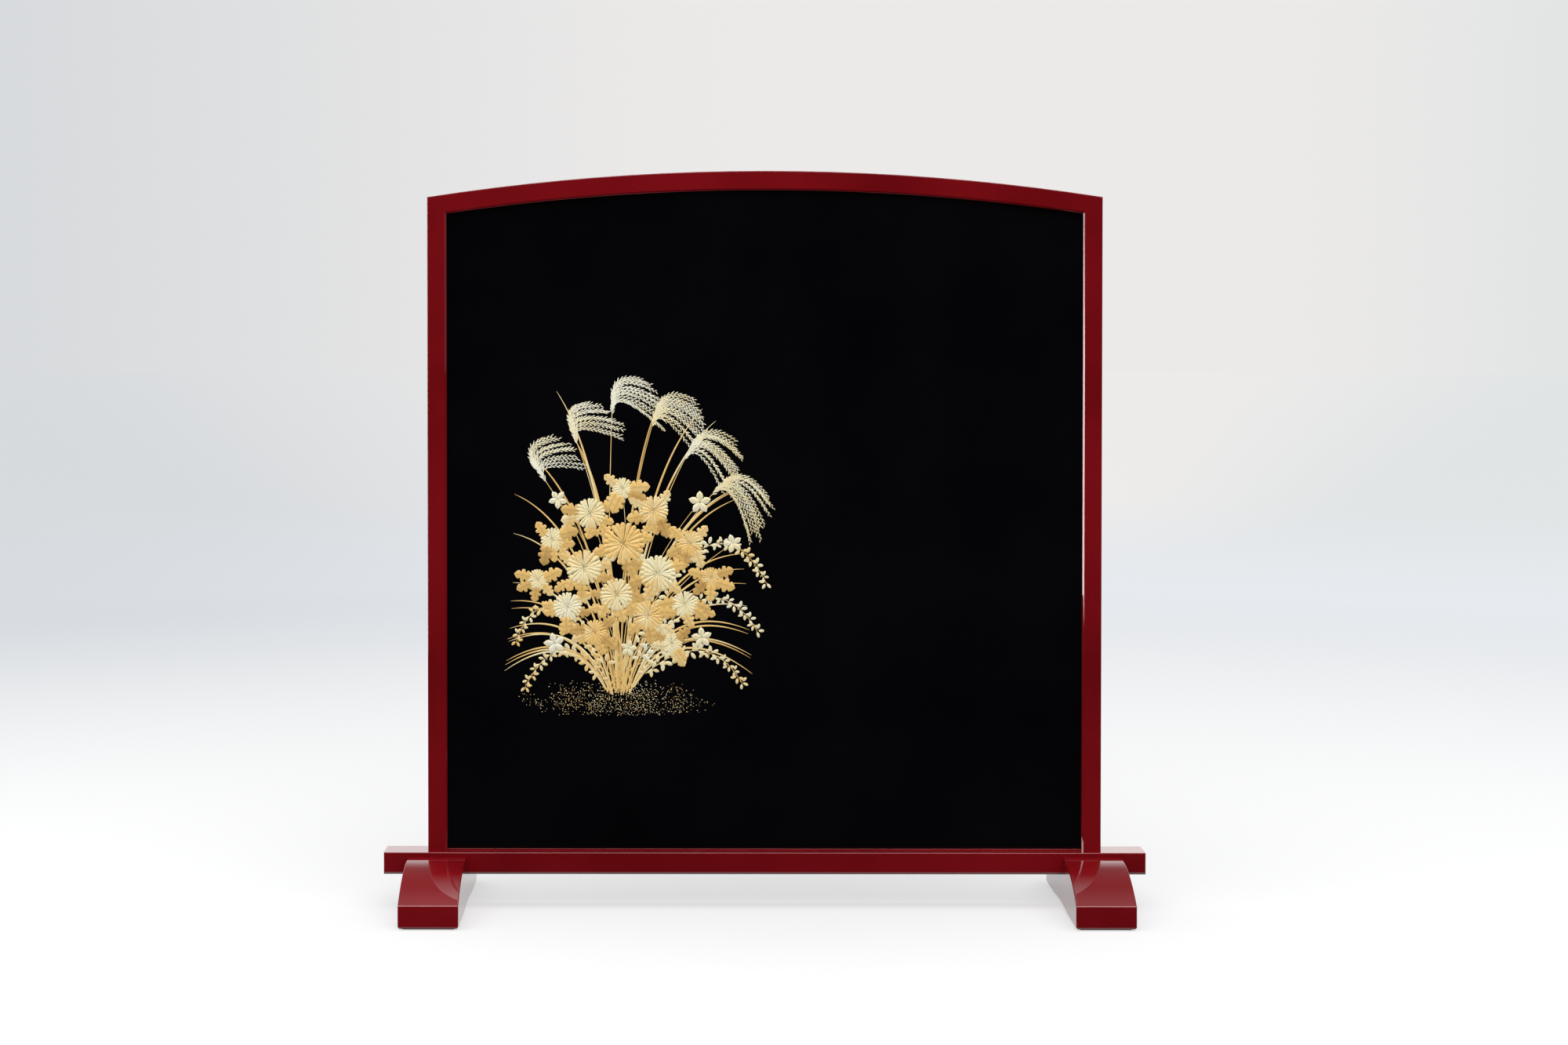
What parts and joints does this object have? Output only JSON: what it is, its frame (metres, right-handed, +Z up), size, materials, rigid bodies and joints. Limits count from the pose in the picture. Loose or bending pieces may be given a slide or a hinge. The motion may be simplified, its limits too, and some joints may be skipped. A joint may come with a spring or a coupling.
{
  "type": "freestanding lacquer screen",
  "caption": "Single-panel standing screen: arched red lacquer frame round a black lacquer board, set in a long base rail on two crowned feet; the framed panel lifts out of the base.",
  "frame": {"origin": "on the floor, at the middle of the footprint", "axes": "+Z up, +X along the base rail to the viewer's right, -Y towards the front, the decorated side"},
  "size_m": [1.212, 0.346, 1.1745],
  "materials": {
    "red_lacquer": "mirror-polished deep red lacquer on wood, soft arrises",
    "black_lacquer": "mirror-polished black lacquer on board",
    "gold_relief": "fine gold dust on slightly raised lacquer",
    "bare_wood": "plain planed hardwood, unlacquered",
    "felt": "dense dark wool felt",
    "steel": "zinc-plated steel, satin",
    "brass": "plain turned brass"
  },
  "bodies": {
    "base": {"left_foot": "red_lacquer", "right_foot": "red_lacquer", "base_rail": "red_lacquer", "left_front_pad": "felt", "left_rear_pad": "felt", "right_front_pad": "felt", "right_rear_pad": "felt", "foot_bolts": "steel", "bolt_washers": "steel", "rail_inserts": "brass"},
    "framed_panel": {"left_stile": "red_lacquer", "right_stile": "red_lacquer", "top_rail": "red_lacquer", "sill": "red_lacquer", "panel_board": "black_lacquer", "left_corner_key": "bare_wood", "right_corner_key": "bare_wood", "sill_pegs": "bare_wood"}
  },
  "joints": [
    {"name": "frame_lift", "type": "slide", "parent": "base", "child": "framed_panel", "axis": [0, 0, 1], "range_m": [0, 0.1]}
  ]
}
